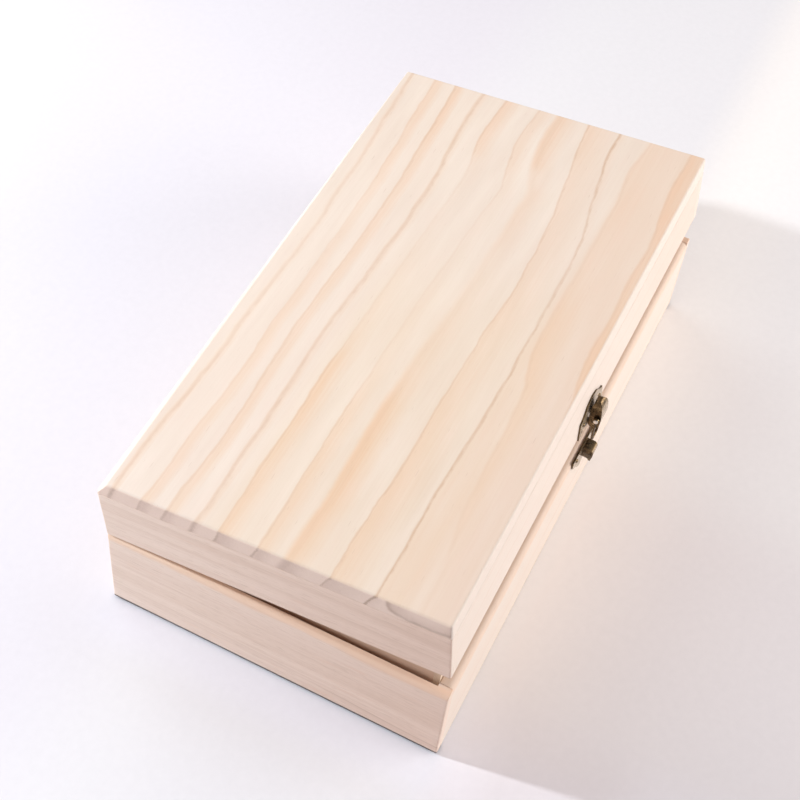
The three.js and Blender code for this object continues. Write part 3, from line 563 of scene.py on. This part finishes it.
top_z0 = LID_T - TOP_T
board("lid_top", "lid_top_panel", "lid", "top", (-L2, -W2, top_z0), (L2, W2, LID_T), "xyz", 0.5,
      face_zero=(0, 0, LID_T), cuts=(28, [-W2 + 8 * k for k in range(1, 19)] + [72.6 + 0.4 * k for k in range(18)], 0), shape=shape_top,
      eased=lambda m: (0.4 if m.y > W2 - 1 else 1.3) if m.z > LID_T - 1 else (0.25 if m.z < top_z0 + 1 else 1.2))

LW = top_z0 - GLUE
joint = lambda m: abs(m.x) < L2 - WALL + 0.1 and abs(m.y) > W2 - 0.1      # upright edge against the next board
lid_edge = lambda m: 0.05 if joint(m) else (0.7 if m.z < LID_Z + 0.1 else (0.1 if m.z > LW - 0.1 else 0.9))
base_edge = lambda m: 0.05 if joint(m) else ((2.0 if abs(m.x) > L2 - 0.1 else 0.5) if m.z > BASE_H - 0.1 else (0.35 if m.z < 1.5 else 0.9))
joint_edge = lambda zs: (lambda m: 0.7 if min(abs(m.z - z) for z in zs) < 0.1 else 0.05)


def rebate(v):
    if abs(v.co.x) < L2 - WALL + REBATE - 0.01 and abs(v.co.y) < W2 - THICK - 0.01 and v.co.z > BASE_H - REBATE_H:
        v.co.z = BASE_H - REBATE_H


for s, side in ((-1, "left"), (1, "right")):
    x0, x1 = sorted((s * L2, s * (L2 - WALL)))
    board(f"lid_end_board_{side}", f"lid_end_{side}", "lid", "lid_end", (x0, -W2, LID_Z), (x1, W2, LW), "yzx", 0.31 if s < 0 else 0.77, eased=lid_edge)
    board(f"base_end_board_{side}", f"base_end_{side}", "base", "base_end", (x0, -W2, 0.9), (x1, W2, BASE_H), "yzx", 0.58 if s < 0 else 0.14, eased=base_edge,
          cuts=([s * (L2 - WALL + REBATE)], [-W2 + THICK, -W2 + THICK + 0.2, W2 - THICK - 0.2, W2 - THICK], [BASE_H - REBATE_H]), shape=rebate)
for s, side in ((-1, "front"), (1, "back")):
    y0, y1 = sorted((s * W2, s * (W2 - WALL)))
    board(f"lid_{side}_board", f"lid_{side}_wall", "lid", "lid_side" if s < 0 else "side_back", (-L2 + WALL, y0, LID_Z), (L2 - WALL, y1, LW), "xzy", 0.42 if s < 0 else 0.9,
          eased=joint_edge((LID_Z,)))
    y0, y1 = sorted((s * W2, s * (W2 - THICK)))
    arris = 2.8 if s < 0 else 0.7
    board(f"base_{side}_board", f"base_{side}_wall", "base", "side" if s < 0 else "side_back", (-L2 + WALL, y0, 0), (L2 - WALL, y1, BASE_H), "xzy", 0.23 if s < 0 else 0.66,
          eased=lambda m, arris=arris: (arris if abs(m.y) > W2 - 0.1 else 0.5) if m.z > BASE_H - 0.1 else (0.7 if m.z < 0.1 else 0.05))
board("base_bottom_board", "base_bottom", "base", "ply", (-L2 + WALL, -W2 + THICK, 0), (L2 - WALL, W2 - THICK, 5), "xyz", 0.37, eased=lambda m: 0.3, face_zero=(0, 0, 5))

# insert frame
IX, IY, IT, LIP = 141.6, 73.65, 3.0, 57.0
soft = lambda m: 0.6 if m.z > LIP - 0.1 else 0.15
board("insert_board_front", "insert_front", "base", "insert", (-IX, -IY, 5), (IX, -IY + IT, LIP), "xzy", 0.11, eased=soft)
board("insert_board_back", "insert_back", "base", "insert", (-IX, IY - IT, 5), (IX, IY, LIP), "xzy", 0.83, eased=soft)
# the insert's end boards take the darker, painted-shade copy of the insert's pine
board("insert_board_left", "insert_left", "base", "insert_shaded", (-IX, -IY + IT, 5), (-IX + IT, IY - IT, LIP), "yzx", 0.52, eased=soft)
board("insert_board_right", "insert_right", "base", "insert_shaded", (IX - IT, -IY + IT, 5), (IX, IY - IT, LIP), "yzx", 0.69, eased=soft)


# ------------------------------------------------- pieces that keep the CAD shape
def refine(node, body, mat, width=0.12, segments=2, wood=None, seed=0.5):
    """A copy of a CAD node with its edges broken."""
    src = NODES[node]
    me = src.data.copy()
    me.name = node + "_fine"
    ob = bpy.data.objects.new(node + "_fine", me)
    bpy.context.scene.collection.objects.link(ob)
    ob.matrix_world = src.matrix_world.copy()
    bm = bmesh.new()
    bm.from_mesh(me)
    bmesh.ops.remove_doubles(bm, verts=bm.verts[:], dist=2e-6)
    bmesh.ops.dissolve_limit(bm, angle_limit=math.radians(1.0), verts=bm.verts[:], edges=bm.edges[:])
    if wood:
        pass
    for f in bm.faces:
        f.smooth = True
    bm.to_mesh(me)
    bm.free()
    me.materials.clear()
    me.materials.append(MATS[mat])
    if wood:
        ai = ["xyz".index(ch) for ch in wood]
        a = me.attributes.new("wood", "FLOAT_VECTOR", "POINT")
        vals = []
        for v in me.vertices:
            p = v.co / MM
            vals += [p[ai[0]], p[ai[1]], p[ai[2]]]
        a.data.foreach_set("vector", vals)
        for nm, val in (("endg", 0.0), ("board", seed)):
            a = me.attributes.new(nm, "FLOAT", "POINT")
            a.data.foreach_set("value", [val] * len(me.vertices))
    mod = ob.modifiers.new("edges", "BEVEL")
    mod.limit_method = "ANGLE"
    mod.angle_limit = math.radians(35)
    mod.width = width * MM
    mod.segments = segments
    mod.use_clamp_overlap = True
    mod.harden_normals = False
    wn = ob.modifiers.new("normals", "WEIGHTED_NORMAL")
    wn.keep_sharp = True
    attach(ob, body)
    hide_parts(node)
    return ob


BODY_OF = {n: b for b, ns in frame["record"]["behaviour"]["bodies"].items() for n in ns}
for i in range(1, 4):
    refine(f"divider_long_{i}", "base", "insert", 0.3, 2, "xzy", 0.2 * i)
for i in range(1, 7):
    refine(f"divider_cross_{i}", "base", "insert", 0.3, 2, "yzx", 0.14 * i + 0.05)
for n in NODES:
    if n.startswith("hinge_") or n.startswith("latch_") or n in ("lever_pin", "bail_pin"):
        metal = "steel" if ("screw" in n or n.endswith("pin")) else "bronze"
        metal = {"bail_pin": "rivet", "latch_lid_plate": "plate", "latch_strike": "plate", "latch_lever": "plate"}.get(n, metal)
        refine(n, BODY_OF[n], metal, {"rivet": 0.22, "steel": 0.1}.get(metal, 0.14), 3 if metal == "rivet" else 2)

# ------------------------------------------------------------ floor, light, camera
def mesh_floor():
    bm = bmesh.new()
    bmesh.ops.create_grid(bm, x_segments=40, y_segments=40, size=4.0)
    for v in bm.verts:
        v.co.z = -0.0002
    me = bpy.data.meshes.new("floor")
    bm.to_mesh(me)
    bm.free()
    ob = bpy.data.objects.new("floor", me)
    bpy.context.scene.collection.objects.link(ob)
    g = Graph("paper_floor")
    n = g.noise(g.node("ShaderNodeTexCoord").outputs["Object"], 260.0, 4.0, 0.6)
    col = g.mix(g.rng(n, 0.3, 0.7), FLOOR_A, FLOOR_B)
    at = g.node("ShaderNodeSeparateXYZ", {0: g.node("ShaderNodeTexCoord").outputs["Object"]})
    x, y = at.outputs[0], at.outputs[1]
    # painted light and shade on the floor, each a colour factor: greyer off the near end, brighter in a strip close
    # to the box's near end, darker behind the hinge side, paler along the latch side and warmer close to it, darker
    # further out past the latch side, and darker in a patch at the near corner of the box's shadow
    near = g.mul(g.rng(y, 0.08, -0.04, 0.0, 1.0, True), g.rng(x, -0.12, -0.26, 0.0, 1.0, True))
    col = g.mix(near, col, g.mix(1.0, col, (0.90, 0.91, 0.93), "MULTIPLY"))
    close = g.mul(g.mul(g.rng(x, -0.178, -0.155, 0.0, 1.0, True), g.rng(x, -0.10, -0.14)), g.rng(y, 0.10, 0.06, 0.0, 1.0, True))
    col = g.mix(close, col, g.mix(1.0, col, (1.035, 1.045, 1.085), "MULTIPLY"))
    back = g.rng(y, 0.04, 0.11, 0.0, 1.0, True)
    col = g.mix(back, col, g.mix(1.0, col, (0.972, 0.950, 0.978), "MULTIPLY"))
    side = g.mul(g.rng(y, -0.05, -0.09, 0.0, 1.0, True), g.rng(x, -0.16, -0.02, 0.0, 1.0, True))
    col = g.mix(side, col, g.mix(1.0, col, (1.075, 1.07, 1.06), "MULTIPLY"))
    close = g.mul(g.mul(g.rng(y, -0.150, -0.082, 0.0, 1.0, True), g.rng(y, -0.05, -0.07, 0.0, 1.0)), g.rng(x, -0.15, -0.08, 0.0, 1.0, True))
    col = g.mix(close, col, g.mix(1.0, col, (1.06, 1.045, 1.01), "MULTIPLY"))
    # painted shade: darker further out from the latch side
    out = g.mix(g.rng(y, -0.09, -0.20), (1.0, 0.968, 0.955), (0.935, 0.915, 0.925))
    col = g.mix(g.mul(g.rng(y, -0.078, -0.090), g.rng(x, 0.06, 0.0, 0.0, 1.0, True)), col, g.mix(1.0, col, out, "MULTIPLY"))
    # painted shade: a darker patch at the near corner of the box's shadow
    corner = g.mul(g.mul(g.rng(y, -0.088, -0.112, 0.0, 1.0, True), g.rng(y, -0.175, -0.145, 0.0, 1.0, True)), g.rng(x, -0.095, -0.130, 0.0, 1.0, True))
    col = g.mix(corner, col, g.mix(1.0, col, (0.955, 0.940, 0.925), "MULTIPLY"))
    g.put(g.bsdf.inputs["Base Color"], col)
    g.bsdf.inputs["Roughness"].default_value = 0.55
    g.bsdf.inputs["Specular IOR Level"].default_value = 0.2
    me.materials.append(g.mat)
    return ob


FLOOR_A, FLOOR_B = (0.79, 0.778, 0.798), (0.81, 0.798, 0.818)
mesh_floor()


def area(name, loc, target, size, power, color):
    ld = bpy.data.lights.new(name, "AREA")
    ld.shape = "RECTANGLE"
    ld.size, ld.size_y = size
    ld.energy = power
    ld.color = color
    ob = bpy.data.objects.new(name, ld)
    bpy.context.scene.collection.objects.link(ob)
    d = Vector(target) - Vector(loc)
    ob.location = loc
    ob.rotation_euler = d.to_track_quat("-Z", "Y").to_euler()
    return ob


LIGHTS = {
    "key": ((-0.32, 0.960, 0.565), (0.0, 0.0, 0.03), (0.05, 0.05), 9.6, (0.94, 1.0, 1.06)),
    "overhead": ((0.0, 0.0, 1.5), (0.0, 0.0, 0.03), (1.2, 1.2), 2.6, (1.08, 0.99, 0.93)),
    "back": ((0.5, 1.2, 1.3), (0.0, 0.0, 0.03), (1.0, 1.0), 5.5, (0.94, 1.02, 1.03)),
    "fill": ((0.43, -1.07, 0.37), (0.0, 0.0, 0.03), (1.0, 0.5), 11.3, (1.05, 0.99, 0.93)),
    "near": ((-0.80, 0.55, 0.35), (-0.15, 0.0, 0.03), (0.5, 0.4), 1.15, (1.0, 1.0, 1.0)),
}
for k, v in LIGHTS.items():
    area(k, *v)
world = bpy.data.worlds.new("studio")
bpy.context.scene.world = world
world.use_nodes = True
bg = world.node_tree.nodes["Background"]
bg.inputs[0].default_value = (0.423, 0.406, 0.421, 1)
bg.inputs[1].default_value = 1.0

cam_d = bpy.data.cameras.new("camera")
cam_d.sensor_width = 36.0
cam_d.lens = 71.004
cam_d.shift_x, cam_d.shift_y = 0.04186, -0.05537
cam_d.clip_start, cam_d.clip_end = 0.01, 50
cam = bpy.data.objects.new("camera", cam_d)
bpy.context.scene.collection.objects.link(cam)
right, up, back = (0.449444, -0.89104, 0.063627), (0.670975, 0.383747, 0.634453), (-0.58974, -0.242459, 0.770338)
loc = (-0.440671, -0.150803, 0.619508)
cam.matrix_world = Matrix(((right[0], up[0], back[0], loc[0]), (right[1], up[1], back[1], loc[1]), (right[2], up[2], back[2], loc[2]), (0, 0, 0, 1)))
bpy.context.scene.camera = cam
vs = bpy.context.scene.view_settings
vs.view_transform = "Standard"
vs.look = "None"
vs.exposure = 0.0
vs.gamma = 1.0
